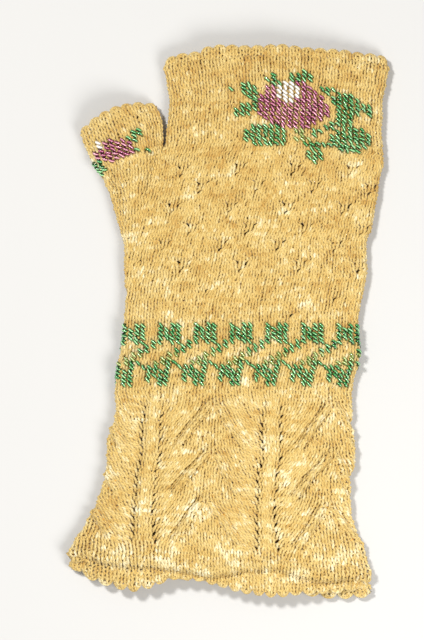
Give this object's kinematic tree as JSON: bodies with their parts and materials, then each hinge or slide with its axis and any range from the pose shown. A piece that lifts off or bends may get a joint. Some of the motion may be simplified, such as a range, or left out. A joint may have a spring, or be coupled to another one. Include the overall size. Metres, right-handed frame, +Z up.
{
  "type": "evening mitten",
  "caption": "Fingerless hand-knitted evening mitten in gold wool, lying flat, with a flared lace cuff, picot hems and beaded roses and leaf vine.",
  "frame": {"origin": "on the surface it lies on, under the middle of the mitten's outline", "axes": "+Y from the cuff's mouth towards the fingers, +X away from the thumb, +Z up from the surface"},
  "size_m": [0.1304, 0.223, 0.011],
  "materials": {
    "gold_yarn": "fine plied wool, matt, softly mottled",
    "green_bead": "glossy transparent emerald seed bead",
    "purple_bead": "glossy transparent amethyst seed bead",
    "white_bead": "glossy opaque white seed bead",
    "olive_bead": "glossy pale olive seed bead"
  },
  "bodies": {
    "root": {"cuff_hem": "gold_yarn", "lace_cuff": "gold_yarn", "bead_band": "gold_yarn", "hand": "gold_yarn", "thumb_gusset": "gold_yarn", "thumb": "gold_yarn", "finger_hem": "gold_yarn", "thumb_hem": "gold_yarn"}
  },
  "joints": []
}
